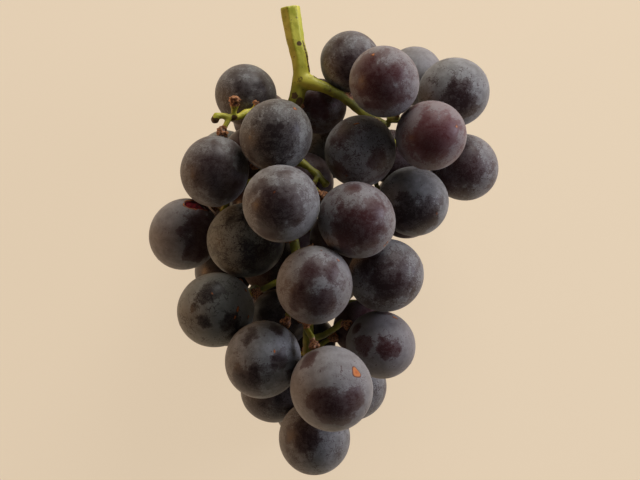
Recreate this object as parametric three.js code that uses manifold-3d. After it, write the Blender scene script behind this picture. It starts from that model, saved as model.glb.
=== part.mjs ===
// A cut bunch of large dark table grapes, lying on its back: one stem that carries every berry by its own
// pedicel. Millimetres, +Z up. The stem's cut end points to +Y, and the fuller side lies upwards.
import * as THREE from "three";
import { mergeVertices } from "three/addons/utils/BufferGeometryUtils.js";
import Module from "manifold-3d";

const wasm = await Module();
wasm.setup();

// Driving dimensions
const GAP = 0.35; // air left between two neighbours
const STRETCH = 1.05; // a berry is a little longer along its stem than across
const DIMPLE_DEPTH = 0.5; // where the pedicel enters
const DIMPLE_REACH = 0.35; // radians round the axis that the dimple covers
const SINK = 0.5; // how far a berry that rests on the table is pressed flat
const TABLE_AIR = 1; // least height under a berry that doesn't rest
const PEDICEL = 0.85; // radius of the stalk of one berry
const TWIG = 1.05; // radius of a twig that carries two berries or more
const CAP_RADIUS = 2.1; // the warty cap between a pedicel and its berry
const CAP_NECK = 1.2;
const CAP_LENGTH = 2.6;
const TABLE_SIZE = 400; // of the block that presses the resting berries flat

// A pedicel's cap is nearly as wide as its mouth up to this share of its length
const CAP_SHOULDER = 0.6;
const SHOULDER_WIDTH = 0.85; // of the cap there, against its mouth
const MOST_CAP = 0.8; // of the length of a short pedicel

// Fineness
const BERRY_DETAIL = 2; // splits of each side of the icosahedron that a berry starts from
const SIDES = 5; // of a pedicel or cap
const LIMB_SIDES = 7;
const STEP = 4; // spacing of the sections along a pedicel or limb
const CURVE_PARTS = 20; // in which the length of a limb between two of its points is measured
const NEARLY_UPRIGHT = 0.9; // of a bar's first direction, beyond which its section is turned another way
const CELL = 1; // step of the grid on which the pedicels find their way between the berries
const MOST_AIR = 7; // a pedicel keeps within this distance of a berry
const SHARING = 0.5; // a way along an earlier pedicel counts this much of its length
const LEAST_AIR = 1.5; // and no nearer than this, from its middle to a berry
const OPEN_COST = 5; // of a way in plain view from above, against one under the berries
const SOURCE_STEP = 0.5; // spacing of the places on a limb where a way may start
const LEAST_SAVING = 1e-3; // by which a new way to a cell has to be shorter
const WELD = 1e-4; // corners nearer than this are one
const FINEST = 0.01; // details of the wood smaller than this are dropped
const FIRST_ROUNDS = 600; // of pressing the berries apart while they are round
const LAST_ROUNDS = 200; // and once they are oval
const TIGHT_COST = 20; // of a cap with too little room, per millimetre missing
const ASTRAY_COST = 250; // of a stem end turned away from where it shows

// The berries that face up, from the left to the right of each row: centre x, y and height, then diameter.
const SEEN = {
  far_top_left: [-26.1, 51.3, 47, 21.8],
  top_left: [10.9, 63.4, 46, 21.4],
  top_front: [22.3, 54.4, 68, 24.1],
  top_back: [34.5, 60.2, 28, 21],
  top_right: [47.7, 52.7, 45, 24.7],
  upper_left: [-15.2, 36.1, 66, 24.9],
  upper_right: [38.4, 36.4, 64, 24.2],
  upper_middle: [14.2, 31.2, 56, 24.9],
  upper_far_left: [-36.9, 24.2, 57, 24],
  upper_far_right: [52.5, 26.6, 32, 24.8],
  middle_far_right: [33.3, 13.9, 45, 24.8],
  waist_far_left: [-49.3, 2.2, 31, 25.6],
  middle_left: [-12.9, 12.4, 76, 26.6],
  middle_right: [12.2, 6.6, 71, 26],
  waist_left: [-26.4, -0.4, 45, 26.6],
  waist_right: [23.1, -12.4, 56, 25.6],
  waist_middle: [-1.7, -15, 73, 26],
  lower_far_left: [-36.4, -24.2, 53, 26.2],
  lower_far_right: [21.5, -36.9, 50, 23.8],
  lower_left: [-19.7, -41.2, 65, 26],
  lower_right: [3.9, -50.4, 76, 28],
  tail: [-2, -69.8, 50, 25.2],
  tail_left: [-16.4, -54.2, 38, 23.6],
  tail_right: [11.4, -53.1, 24, 25],
};

// The darker ones that show only in the gaps between those.
const INNER = {
  inner_fork: [-0.5, 48.5, 36, 20],
  inner_upper: [4.1, 34, 20, 21],
  inner_middle: [-6.2, 21, 37, 21.4],
  inner_left: [-25.5, 33, 38, 20],
  inner_twig: [-21.6, 45, 21, 21],
  inner_waist_left: [-34, -12, 16, 21.4],
  inner_lower: [-13.6, -29, 35, 21],
  inner_waist: [-20, -9, 24, 21.6],
  inner_middle_right: [7.5, 0.7, 42, 21.6],
  inner_tail: [-4.6, -39.6, 22, 20.5],
  inner_lower_right: [14.7, -35.9, 28, 20],
  inner_far_right: [32, 13.2, 18, 24],
  inner_lower_left: [-34, -28, 26, 20],
  inner_waist_right: [22, -12, 32, 20.4],
  inner_tail_end: [0, -74, 27, 20],
  inner_far_left: [-40.5, 24, 30, 18.6],
  inner_upper_right: [26, 30, 32, 19.4],
  inner_top: [10, 66, 24, 19],
  inner_middle_left: [-24, 12, 28, 19.4],
};

// The back of the bunch: centre x, y and diameter of the berries that lie on the table and are pressed flat.
const RESTING = {
  back_01: [40, 41, 22],
  back_02: [20, 58, 21],
  back_03: [-1, 49.5, 20],
  back_04: [-35, 29, 19.5],
  back_05: [-30, 13, 21],
  back_06: [-13, 27, 21],
  back_07: [-15, 5, 21.5],
  back_08: [11, 7, 21],
  back_09: [24, -12, 21.6],
  back_10: [3, -15, 22],
  back_11: [-13, -20, 21],
  back_12: [-19, -46, 23],
  back_13: [-4, -63, 22],
  back_14: [21, -37, 21],
};

// A berry that doesn't show keeps its place less strictly than one that does.
const SEEN_FREEDOM = 0.08;
const INNER_FREEDOM = 0.6;

// Where the cap of a berry meets it, on those whose cap or whose scar on the far side shows, and the last
// three, which are known to hide theirs
const STEM_ENDS = {
  upper_far_left: [-34.9, 36.8, 57],
  lower_far_left: [-23.9, -19.1, 52.6],
  lower_left: [-12.4, -30, 64],
  lower_right: [-0.4, -37.5, 76],
  lower_far_right: [11.2, -29.8, 50],
  upper_left: [-23.4, 28.4, 60.8],
  upper_right: [30.4, 33.3, 55.5],
  middle_right: [3.5, 15.4, 66.6],
  top_front: [26.8, 46.2, 60.4],
  middle_far_right: [25.4, 19, 34.5],
  waist_far_left: [-39.7, 13.3, 30],
  inner_upper: [9.4, 41.1, 29],
};

// Wood set by hand: points along each limb, and its radius there
const LIMBS = {
  peduncle: [[-10.7, 82.8, 47, 3.6], [-8.7, 70.6, 47.3, 3.2], [-7.2, 64.7, 47.7, 3], [-6.5, 59.4, 48, 3.2]],
  rachis: [
    [-6.4, 60.5, 48, 3],
    [-6.9, 56.9, 48, 3.1],
    [-8, 51.5, 47.6, 2.7],
    [-9, 48.6, 47, 2.7],
    [-11.5, 38, 46, 1.9],
    [-12.5, 24, 50, 1.7],
    [-10.5, 8, 52, 1.7],
    [-8.5, -4, 51, 1.7],
    [-5.5, -18, 50, 1.7],
    [-4.2, -29, 48, 1.8],
    [-4.4, -41, 46, 1.7],
    [-3.4, -53, 45, 1.4],
  ],
  shoulder: [
    [-6, 56.6, 48.2, 3.3],
    [-2.7, 55.6, 49.6, 2.6],
    [1.8, 53.9, 51, 1.85],
    [7.1, 51.3, 50.5, 1.65],
    [11.4, 48.4, 49, 1.65],
    [15.7, 45, 47, 1.7],
    [24, 40.5, 44.5, 1.6],
  ],
  spur: [[-4.2, 56.5, 50.2, 1.3], [-1.9, 58.4, 51, 0.3]],
  knobby: [
    [-12.2, 27, 49, 1.2],
    [-9.3, 27.6, 50.5, 1],
    [-6.4, 27.4, 52, 1.5],
    [-3.8, 25.6, 53, 0.95],
    [-1.2, 23.2, 54, 1.5],
    [1, 20.9, 55.4, 1],
    [2.4, 19.3, 56.4, 1.4],
  ],
  bare: [
    [-11.2, 41, 46.5, 1.3],
    [-20.6, 46, 50.5, 1.2],
    [-25, 45, 53, 1.2],
    [-26, 44.8, 53.6, 1.4],
    [-28.6, 43.3, 55, 1.05],
    [-31.8, 42.9, 56.5, 1.2],
    [-34.2, 43.6, 57, 0.95],
    [-36.2, 43.5, 57, 1.25],
    [-36.8, 42.2, 57, 1.4],
    [-36.7, 41.2, 57, 0.9],
  ],
  arm: [[-31.9, 42.8, 56.5, 1], [-32.8, 40.8, 57, 0.85], [-33.4, 39.6, 57, 0.85]],
  stub: [[-30, 43.1, 55.8, 1], [-30.2, 44.9, 56.3, 0.85], [-30, 46.6, 56.6, 1]],
  nub: [[-24, 45.2, 52.4, 1], [-22.6, 47.2, 52.6, 0.8], [-22.4, 49, 52.8, 1.05]],
  to_far_left: [[-6.9, -11, 50.8, 1.2], [-13, -13.6, 53.5, 1], [-18, -16.2, 54, 0.95], [-20.6, -17.6, 53, 0.9]],
  to_left: [[-6.2, -15.5, 50.3, 1.2], [-9.5, -22, 57, 1], [-11.2, -26.2, 62, 0.9]],
  to_right: [[-4.6, -27, 49, 1.2], [-5.2, -28.6, 58, 1], [-4.6, -30.6, 66, 0.95], [-2.6, -33.4, 73, 0.9]],
  to_far_right: [[-4.3, -35.5, 47, 1.2], [1.5, -33.8, 47, 1.1], [6, -30.8, 48, 1.05], [8.2, -28.8, 49.3, 0.95]],
};

// Limbs that no pedicel may leave from
const BARREN = new Set(["peduncle", "spur", "stub", "nub"]);

// The cap that has lost its berry, from its mouth to its neck
const BARE_CAP = [[-29.8, 50.1, 57.2], [-30, 46.2, 56.6]];

const toVector = ([x, y, z]) => new THREE.Vector3(x, y, z);

function berryOf(name, [x, y, z, width], side, up) {
  return { name, centre: new THREE.Vector3(x, y, z), radius: width / 2, side, up };
}

function makeBerries() {
  const seen = Object.entries(SEEN).map(([name, row]) => berryOf(name, row, SEEN_FREEDOM, 1));
  const inner = Object.entries(INNER).map(([name, row]) => berryOf(name, row, INNER_FREEDOM, 1));
  const resting = Object.entries(RESTING).map(([name, [x, y, width]]) =>
    berryOf(name, [x, y, width / 2 - SINK, width], 1, 0),
  );
  return [...seen, ...inner, ...resting];
}

// The half size of a berry along a direction: round at first, and oval once its axis is known
function reach(berry, direction) {
  if (!berry.axis) return berry.radius;
  const along = berry.axis.dot(direction);
  return berry.radius * Math.sqrt(1 - along * along + (STRETCH * along) ** 2);
}

// Moves a berry, by its own freedom sideways and in height
function nudge(berry, direction, amount) {
  berry.centre.x += direction.x * amount * berry.side;
  berry.centre.y += direction.y * amount * berry.side;
  berry.centre.z += direction.z * amount * berry.up;
}

function limbSegments() {
  return Object.entries(LIMBS).flatMap(([name, rows]) =>
    rows.slice(1).map((row, i) => ({
      line: new THREE.Line3(toVector(rows[i]), toVector(row)),
      radius: Math.max(rows[i][3], row[3]),
      bears: !BARREN.has(name),
    })),
  );
}

// Presses neighbours apart until every pair, and every berry and limb, has air between them
function settle(berries, segments, rounds) {
  const between = new THREE.Vector3();
  const nearest = new THREE.Vector3();
  for (let round = 0; round < rounds; round++) {
    for (const [i, a] of berries.entries()) {
      for (const b of berries.slice(i + 1)) {
        between.subVectors(a.centre, b.centre);
        const distance = between.length();
        between.divideScalar(distance);
        const missing = reach(a, between) + reach(b, between) + GAP - distance;
        if (missing <= 0) continue;
        nudge(a, between, 0.5 * missing);
        nudge(b, between, -0.5 * missing);
      }
      for (const { line, radius } of segments) {
        line.closestPointToPoint(a.centre, true, nearest);
        between.subVectors(a.centre, nearest);
        const distance = between.length();
        between.divideScalar(distance);
        const missing = reach(a, between) + radius + GAP - distance;
        if (missing > 0) nudge(a, between, missing);
      }
      if (a.up) a.centre.z = Math.max(a.centre.z, a.radius * STRETCH + TABLE_AIR);
    }
  }
}

// Free distance from a point to the nearest berry, leaving one berry out
function airAt(point, berries, except) {
  let air = Infinity;
  for (const berry of berries)
    if (berry !== except) air = Math.min(air, point.distanceTo(berry.centre) - berry.radius * STRETCH);
  return air;
}

// The free room between the berries as a grid of cells: the distance to the nearest berry, and whether a cell is
// in plain view from above
function makeRoom(berries) {
  const box = new THREE.Box3().setFromPoints(berries.map((berry) => berry.centre)).expandByScalar(MOST_AIR);
  const size = box.getSize(new THREE.Vector3()).divideScalar(CELL).ceil();
  const air = new Float32Array(size.x * size.y * size.z).fill(MOST_AIR);
  const index = (x, y, z) => x + size.x * (y + size.y * z);
  const cellOf = (point) => point.clone().sub(box.min).divideScalar(CELL).floor();
  const centreOf = (cell) =>
    new THREE.Vector3(cell % size.x, Math.floor(cell / size.x) % size.y, Math.floor(cell / size.x / size.y))
      .addScalar(0.5)
      .multiplyScalar(CELL)
      .add(box.min);
  for (const { centre, radius } of berries) {
    const span = radius * STRETCH + MOST_AIR;
    const low = cellOf(centre.clone().subScalar(span)).max(new THREE.Vector3());
    const high = cellOf(centre.clone().addScalar(span)).min(size.clone().subScalar(1));
    for (let z = low.z; z <= high.z; z++)
      for (let y = low.y; y <= high.y; y++)
        for (let x = low.x; x <= high.x; x++) {
          const cell = index(x, y, z);
          air[cell] = Math.min(air[cell], centreOf(cell).distanceTo(centre) - radius * STRETCH);
        }
  }
  const open = new Uint8Array(air.length);
  for (let y = 0; y < size.y; y++)
    for (let x = 0; x < size.x; x++)
      for (let z = size.z - 1; z >= 0 && air[index(x, y, z)] > 0; z--) open[index(x, y, z)] = 1;
  return { size, air, open, index, cellOf, centreOf };
}

// A queue that always gives the entry with the least cost first
class Queue {
  entries = [];
  push(entry) {
    const { entries } = this;
    let at = entries.length;
    entries.push(entry);
    while (at > 0) {
      const parent = (at - 1) >> 1;
      if (entries[parent].cost <= entry.cost) break;
      entries[at] = entries[parent];
      at = parent;
    }
    entries[at] = entry;
  }
  pop() {
    const { entries } = this;
    const first = entries[0];
    const last = entries.pop();
    if (entries.length === 0) return first;
    let at = 0;
    for (;;) {
      let child = 2 * at + 1;
      if (child >= entries.length) break;
      if (child + 1 < entries.length && entries[child + 1].cost < entries[child].cost) child += 1;
      if (entries[child].cost >= last.cost) break;
      entries[at] = entries[child];
      at = child;
    }
    entries[at] = last;
    return first;
  }
}

// Spreads ways out from the cells in the queue. Each cell reached remembers the one before it.
function spread(room, ways, queue) {
  const { size, air, open, index } = room;
  const { cost, before } = ways;
  while (queue.entries.length) {
    const entry = queue.pop();
    if (entry.cost > cost[entry.cell]) continue;
    const x = entry.cell % size.x;
    const y = Math.floor(entry.cell / size.x) % size.y;
    const z = Math.floor(entry.cell / size.x / size.y);
    for (let dz = -1; dz <= 1; dz++)
      for (let dy = -1; dy <= 1; dy++)
        for (let dx = -1; dx <= 1; dx++) {
          const [nx, ny, nz] = [x + dx, y + dy, z + dz];
          if (nx < 0 || ny < 0 || nz < 0 || nx >= size.x || ny >= size.y || nz >= size.z) continue;
          const next = index(nx, ny, nz);
          if (air[next] < LEAST_AIR || air[next] >= MOST_AIR) continue;
          const total = entry.cost + Math.hypot(dx, dy, dz) * (open[next] ? OPEN_COST : 1);
          if (total >= cost[next] - LEAST_SAVING) continue;
          cost[next] = total;
          before[next] = entry.cell;
          queue.push({ cell: next, cost: total });
        }
  }
}

// Ways through the free room from every limb
function growWays(room, segments) {
  const { size, air, index, cellOf } = room;
  const ways = { cost: new Float32Array(air.length).fill(Infinity), before: new Int32Array(air.length).fill(-1) };
  const queue = new Queue();
  for (const { line } of segments.filter(({ bears }) => bears))
    for (let t = 0; t <= 1; t += SOURCE_STEP / line.distance()) {
      const at = cellOf(line.at(Math.min(t, 1), new THREE.Vector3()));
      const cell = index(at.x, at.y, at.z);
      if (at.y >= size.y || ways.cost[cell] === 0) continue;
      ways.cost[cell] = 0;
      queue.push({ cell, cost: 0 });
    }
  spread(room, ways, queue);
  return ways;
}

// Turns a berry's stem end to the free cell beside it that lies nearest to the wood
function turnToWood(berry, berries, room, ways) {
  const { cost } = ways;
  const shown = STEM_ENDS[berry.name] && toVector(STEM_ENDS[berry.name]).sub(berry.centre).normalize();
  const wished = shown ?? berry.axis;
  const near = berry.radius * STRETCH + CAP_LENGTH;
  const low = room.cellOf(berry.centre.clone().subScalar(near + 1)).max(new THREE.Vector3());
  const high = room.cellOf(berry.centre.clone().addScalar(near + 1)).min(room.size.clone().subScalar(1));
  let best = Infinity;
  for (let z = low.z; z <= high.z; z++)
    for (let y = low.y; y <= high.y; y++)
      for (let x = low.x; x <= high.x; x++) {
        const cell = room.index(x, y, z);
        if (cost[cell] === Infinity) continue;
        const direction = room.centreOf(cell).sub(berry.centre);
        const distance = direction.length();
        if (Math.abs(distance - near) > CELL) continue;
        direction.divideScalar(distance);
        const mouth = berry.centre.clone().addScaledVector(direction, berry.radius * STRETCH + GAP);
        const tight = Math.max(0, CAP_RADIUS + GAP - airAt(mouth, berries, berry));
        const astray = wished ? ASTRAY_COST * (1 - direction.dot(wished)) : 0;
        const total = cost[cell] + TIGHT_COST * tight + astray;
        if (total >= best) continue;
        best = total;
        berry.axis = direction.clone();
        berry.start = cell;
      }
}

// The way of each pedicel, from its berry back to a limb or to an earlier pedicel, which is a twig from there on
function traceWays(berries, room, segments) {
  const ways = growWays(room, segments);
  for (const berry of berries) turnToWood(berry, berries, room, ways);
  const nearestFirst = [...berries].sort((a, b) => ways.cost[a.start] - ways.cost[b.start]);
  const owners = new Map();
  const traced = [];
  for (const berry of nearestFirst) {
    turnToWood(berry, berries, room, ways);
    const way = { berry, cells: [], join: Infinity };
    let cell = berry.start;
    for (; cell >= 0 && !owners.has(cell); cell = ways.before[cell]) {
      owners.set(cell, { way, at: way.cells.length });
      way.cells.push(cell);
    }
    if (cell >= 0) {
      const host = owners.get(cell);
      host.way.join = Math.min(host.way.join, host.at);
      way.cells.push(cell);
    }
    traced.push(way);
    const queue = new Queue();
    for (const used of way.cells) {
      ways.cost[used] *= SHARING;
      queue.push({ cell: used, cost: ways.cost[used] });
    }
    spread(room, ways, queue);
  }
  return traced;
}

// The points and radius of each stretch of a way: a pedicel as far as the first join, and a twig after it
function toTwigs({ berry, cells, join }, room) {
  const mouth = berry.centre.clone().addScaledVector(berry.axis, berry.radius * STRETCH + GAP);
  const neck = mouth.clone().addScaledVector(berry.axis, CAP_LENGTH);
  const points = [mouth, neck, ...cells.slice(1).map(room.centreOf)];
  const split = Math.max(join, 1) + 1;
  if (split >= cells.length) return [{ points: thin(points), radius: PEDICEL, capped: true }];
  const pedicel = { points: thin(points.slice(0, split + 1)), radius: PEDICEL, capped: true };
  return [pedicel, { points: thin(points.slice(split)), radius: TWIG, capped: false }];
}

// Merged, with only its corners left: the form that the solids are made from
function toSolid(geometry) {
  const bare = geometry.clone();
  bare.deleteAttribute("normal");
  bare.deleteAttribute("uv");
  const merged = mergeVertices(bare, WELD);
  return new wasm.Manifold(
    new wasm.Mesh({
      numProp: 3,
      vertProperties: merged.attributes.position.array,
      triVerts: new Uint32Array(merged.index.array),
    }),
  );
}

function toGeometry(solid) {
  const mesh = solid.getMesh();
  const geometry = new THREE.BufferGeometry();
  geometry.setAttribute("position", new THREE.BufferAttribute(new Float32Array(mesh.vertProperties), 3));
  geometry.setIndex(new THREE.BufferAttribute(new Uint32Array(mesh.triVerts), 1));
  geometry.computeVertexNormals();
  return geometry;
}

// An icosahedron drawn out along the berry's axis, with a shallow dimple round the corner on that axis
function berryGeometry({ centre, radius, axis }) {
  const up = new THREE.Vector3(0, 0, 1);
  const corner = new THREE.Vector3(0, 1, (1 + Math.sqrt(5)) / 2).normalize();
  const upright = new THREE.Quaternion().setFromUnitVectors(corner, up);
  const turn = new THREE.Quaternion().setFromUnitVectors(up, axis);
  const geometry = new THREE.IcosahedronGeometry(1, BERRY_DETAIL);
  const place = geometry.attributes.position;
  const point = new THREE.Vector3();
  for (let i = 0; i < place.count; i++) {
    point.fromBufferAttribute(place, i).applyQuaternion(upright);
    const dimple = THREE.MathUtils.smoothstep(DIMPLE_REACH - point.angleTo(up), 0, DIMPLE_REACH);
    point.multiplyScalar(radius - DIMPLE_DEPTH * dimple);
    point.z *= STRETCH;
    point.applyQuaternion(turn).add(centre);
    place.setXYZ(i, point.x, point.y, point.z);
  }
  return geometry;
}

function makeBerry(berry) {
  const solid = toSolid(berryGeometry(berry));
  if (berry.up) return solid;
  const table = new THREE.BoxGeometry(TABLE_SIZE, TABLE_SIZE, TABLE_SIZE).translate(0, 0, -TABLE_SIZE / 2);
  return solid.subtract(toSolid(table));
}

const smoothCurve = (points) => new THREE.CatmullRomCurve3(points, false, "centripetal");

// A bar bent along a curve. Each station is a distance along the curve and the bar's radius there.
function bendBar(curve, stations, sides = SIDES) {
  const length = curve.getLength();
  const bar = new THREE.CylinderGeometry(1, 1, 1, sides, stations.length - 1);
  const upright = Math.abs(curve.getTangentAt(0).z) > NEARLY_UPRIGHT;
  const side = upright ? new THREE.Vector3(1, 0, 0) : new THREE.Vector3(0, 0, 1);
  const rings = stations.map(([distance, radius]) => {
    const share = Math.min(1, distance / length);
    const tangent = curve.getTangentAt(share);
    side.addScaledVector(tangent, -side.dot(tangent)).normalize();
    const across = new THREE.Vector3().crossVectors(side, tangent);
    return { middle: curve.getPointAt(share), side: side.clone(), across, radius };
  });
  const place = bar.attributes.position;
  for (let i = 0; i < place.count; i++) {
    const { middle, side, across, radius } = rings[Math.round((place.getY(i) + 0.5) * (rings.length - 1))];
    const [x, z] = [place.getX(i) * radius, place.getZ(i) * radius];
    place.setXYZ(i, ...middle.clone().addScaledVector(side, x).addScaledVector(across, z).toArray());
  }
  return toSolid(bar);
}

// Stations at even steps over a length, with a radius that changes evenly
function evenStations(start, end, radius, lastRadius = radius) {
  const steps = Math.max(1, Math.round((end - start) / STEP));
  return Array.from({ length: steps + 1 }, (_, i) => [
    THREE.MathUtils.lerp(start, end, i / steps),
    THREE.MathUtils.lerp(radius, lastRadius, i / steps),
  ]);
}

function makeLimb(rows) {
  const curve = smoothCurve(rows.map(toVector));
  const lengths = curve.getLengths(CURVE_PARTS * (rows.length - 1));
  const stations = [[0, rows[0][3]]];
  for (let i = 1; i < rows.length; i++) {
    const [start, end] = [lengths[CURVE_PARTS * (i - 1)], lengths[CURVE_PARTS * i]];
    stations.push(...evenStations(start, end, rows[i - 1][3], rows[i][3]).slice(1));
  }
  return bendBar(curve, stations, LIMB_SIDES);
}

// A pedicel starts with the warty cap that holds the berry
function makeTwig({ points, radius, capped }) {
  const curve = smoothCurve(points);
  const length = curve.getLength();
  if (!capped) return bendBar(curve, evenStations(0, length, radius));
  const neck = Math.min(CAP_LENGTH, MOST_CAP * length);
  const cap = [[0, CAP_RADIUS], [CAP_SHOULDER * neck, SHOULDER_WIDTH * CAP_RADIUS]];
  return bendBar(curve, [...cap, ...evenStations(neck, length, radius)]);
}

// Every few cells of a way, with its start and its end kept
function thin(points) {
  const last = points.length - 1;
  return points.filter((point, i) => i < 2 || i === last || (i % STEP === 0 && i < last - 1));
}

// All the wood in one piece. Hollows sealed in where bars meet are filled, and loose scraps dropped.
function makeStem(twigs) {
  const pieces = [...Object.values(LIMBS).map(makeLimb), ...twigs.map(makeTwig)];
  const capLine = smoothCurve(BARE_CAP.map(toVector));
  pieces.push(bendBar(capLine, [[0, CAP_RADIUS], [capLine.getLength(), CAP_NECK]]));
  const bodies = wasm.Manifold.union(pieces).simplify(FINEST).decompose();
  return bodies.reduce((largest, body) => (body.volume() > largest.volume() ? body : largest));
}

const berries = makeBerries();
const segments = limbSegments();
settle(berries, segments, FIRST_ROUNDS);
const firstRoom = makeRoom(berries);
const firstWays = growWays(firstRoom, segments);
for (const berry of berries) turnToWood(berry, berries, firstRoom, firstWays);
settle(berries, segments, LAST_ROUNDS);
const room = makeRoom(berries);
const twigs = traceWays(berries, room, segments).flatMap((way) => toTwigs(way, room));

const skin = { color: 0x3a3442, roughness: 0.55, metalness: 0 };
const wood = { color: 0x8f9434, roughness: 0.6, metalness: 0 };

const bunch = new THREE.Group();
for (const berry of berries) {
  const mesh = new THREE.Mesh(toGeometry(makeBerry(berry)), new THREE.MeshStandardMaterial(skin));
  mesh.name = "berry_" + berry.name;
  bunch.add(mesh);
}
const stem = new THREE.Mesh(toGeometry(makeStem(twigs)), new THREE.MeshStandardMaterial(wood));
stem.name = "stem";
bunch.add(stem);

// The origin is below the middle of the bunch, on the table
const box = new THREE.Box3().setFromObject(bunch);
const middle = box.getCenter(new THREE.Vector3());
bunch.position.set(-middle.x, -middle.y, 0);

const grapes = new THREE.Group();
grapes.add(bunch);

export default grapes;
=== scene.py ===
# %% [markdown]
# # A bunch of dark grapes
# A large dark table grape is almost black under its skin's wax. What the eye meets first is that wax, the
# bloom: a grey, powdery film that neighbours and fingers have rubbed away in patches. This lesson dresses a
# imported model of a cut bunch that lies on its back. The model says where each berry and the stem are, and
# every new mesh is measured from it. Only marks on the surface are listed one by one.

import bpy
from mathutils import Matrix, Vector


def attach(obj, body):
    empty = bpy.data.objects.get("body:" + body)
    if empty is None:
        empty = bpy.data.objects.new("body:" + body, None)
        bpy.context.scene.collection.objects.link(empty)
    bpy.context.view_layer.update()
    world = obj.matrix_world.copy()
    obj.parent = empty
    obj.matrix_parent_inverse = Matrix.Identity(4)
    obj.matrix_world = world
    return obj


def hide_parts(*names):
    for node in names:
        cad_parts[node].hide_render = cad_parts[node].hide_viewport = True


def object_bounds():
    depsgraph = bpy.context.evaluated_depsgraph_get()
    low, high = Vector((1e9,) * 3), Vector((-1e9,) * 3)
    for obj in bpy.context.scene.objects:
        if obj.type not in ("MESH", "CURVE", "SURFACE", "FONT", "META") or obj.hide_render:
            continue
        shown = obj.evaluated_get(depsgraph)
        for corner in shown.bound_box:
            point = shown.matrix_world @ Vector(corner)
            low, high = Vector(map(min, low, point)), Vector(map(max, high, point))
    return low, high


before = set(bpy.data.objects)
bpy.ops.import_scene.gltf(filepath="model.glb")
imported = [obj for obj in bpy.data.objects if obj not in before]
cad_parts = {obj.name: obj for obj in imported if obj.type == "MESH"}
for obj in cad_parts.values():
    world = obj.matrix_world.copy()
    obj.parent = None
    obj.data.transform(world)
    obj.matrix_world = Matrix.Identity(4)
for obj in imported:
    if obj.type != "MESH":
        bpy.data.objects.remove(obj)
cad_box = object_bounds()
print("nodes:", len(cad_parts), "box in mm:", [round(1000 * side) for side in cad_box[1] - cad_box[0]])

# %% [markdown]
# ## Libraries and units
# Blender works in metres. A grape is easier to think of in millimetres, so every size below is in
# millimetres and is multiplied by one constant where Blender takes it. All chance comes from one seeded
# generator, so the bunch looks the same each time.

# %% Libraries and units
import math

import bmesh
import bpy
import numpy as np
from mathutils import Vector, kdtree, noise

MM = 0.001
SEED = 7
rng = np.random.default_rng(SEED)
print("seed:", SEED)

# %% [markdown]
# ## The camera
# The bunch was seen from the side while it hung. Now it lies on its back, so the same view is had by looking
# straight down. An unturned Blender camera already looks down, with +Y at the top of the picture. Only its
# height and its lens have to be set. The nearer berries look larger by an amount that fits an eye about
# 0.7 m away.

# %% Camera
EYE = Vector((-1.29, 0.73, 695)) * MM  # above the middle of the picture
SENSOR_WIDTH = 36  # in millimetres of film
LENS = 102.4  # gives 2.8 pixels to a millimetre at mid height, in a picture 640 pixels wide

camera_data = bpy.data.cameras.new("camera")
camera_data.sensor_width = SENSOR_WIDTH
camera_data.lens = LENS
camera = bpy.data.objects.new("camera", camera_data)
camera.location = EYE
bpy.context.scene.collection.objects.link(camera)
bpy.context.scene.camera = camera
bpy.context.scene.view_settings.view_transform = "Standard"
print("field of view in degrees:", round(math.degrees(camera_data.angle), 1))

# %% [markdown]
# ## Colours and nodes
# Colours are easiest to pick as sRGB hex values, and shaders want linear numbers, so one function converts
# them. A second one adds a shader node, sets its inputs and links them, so that a material reads as a list of
# steps from coordinates to colour.


# %% Helpers for materials
def linear(hex_value):
    """An sRGB hex colour as the linear numbers that a shader wants."""
    shares = [int(hex_value[i : i + 2], 16) / 255 for i in (1, 3, 5)]
    return (*[s / 12.92 if s <= 0.04045 else ((s + 0.055) / 1.055) ** 2.4 for s in shares], 1.0)


def add(tree, kind, inputs=None, **settings):
    """A new node in the tree. Each input is a value, or the output socket that it is linked to."""
    node = tree.nodes.new(kind)
    for key, value in settings.items():
        setattr(node, key, value)
    for key, value in (inputs or {}).items():
        if isinstance(value, bpy.types.NodeSocket):
            tree.links.new(value, node.inputs[key])
        else:
            node.inputs[key].default_value = value
    return node


def new_material(name):
    """An empty material, with its tree and the shader at the tree's end."""
    material = bpy.data.materials.new(name)
    material.use_nodes = True
    tree = material.node_tree
    tree.nodes.clear()
    shader = add(tree, "ShaderNodeBsdfPrincipled")
    add(tree, "ShaderNodeOutputMaterial", {"Surface": shader.outputs[0]})
    return material, tree, shader


def mixed(tree, share, first, second):
    """The colour between two colours, by a share from 0 to 1."""
    node = add(tree, "ShaderNodeMix", {0: share}, data_type="RGBA")
    for socket, colour in ((node.inputs[6], first), (node.inputs[7], second)):
        if isinstance(colour, bpy.types.NodeSocket):
            tree.links.new(colour, socket)
        else:
            socket.default_value = linear(colour)
    return node.outputs[2]


def ramp(tree, value, low, high, to_low=0.0, to_high=1.0):
    """A smooth step: to_low below low, and to_high above high."""
    inputs = {0: value, 1: low, 2: high, 3: to_low, 4: to_high}
    return add(tree, "ShaderNodeMapRange", inputs, interpolation_type="SMOOTHSTEP").outputs[0]


def maths(tree, operation, first, second=0.0, third=0.0):
    """One sum. MULTIPLY_ADD is first times second, plus third."""
    return add(tree, "ShaderNodeMath", {0: first, 1: second, 2: third}, operation=operation).outputs[0]


def grain(tree, place, size_mm, detail=3.0, roughness=0.55, distortion=0.0):
    """Noise whose features are about size_mm across."""
    inputs = {
        "Vector": place,
        "Scale": 1 / (size_mm * MM),
        "Detail": detail,
        "Roughness": roughness,
        "Distortion": distortion,
    }
    return add(tree, "ShaderNodeTexNoise", inputs).outputs[0]


print("linear mid grey:", round(linear("#808080")[0], 3))

# %% [markdown]
# ## Floor
# The floor is a plain warm sheet, so wide that its edge never shows. It gives off a little light of its own,
# like a lit studio table: that keeps the shadow under the bunch soft, and lights the berries' undersides.

# %% Floor
FLOOR_HALF = 3.0  # in metres

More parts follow.
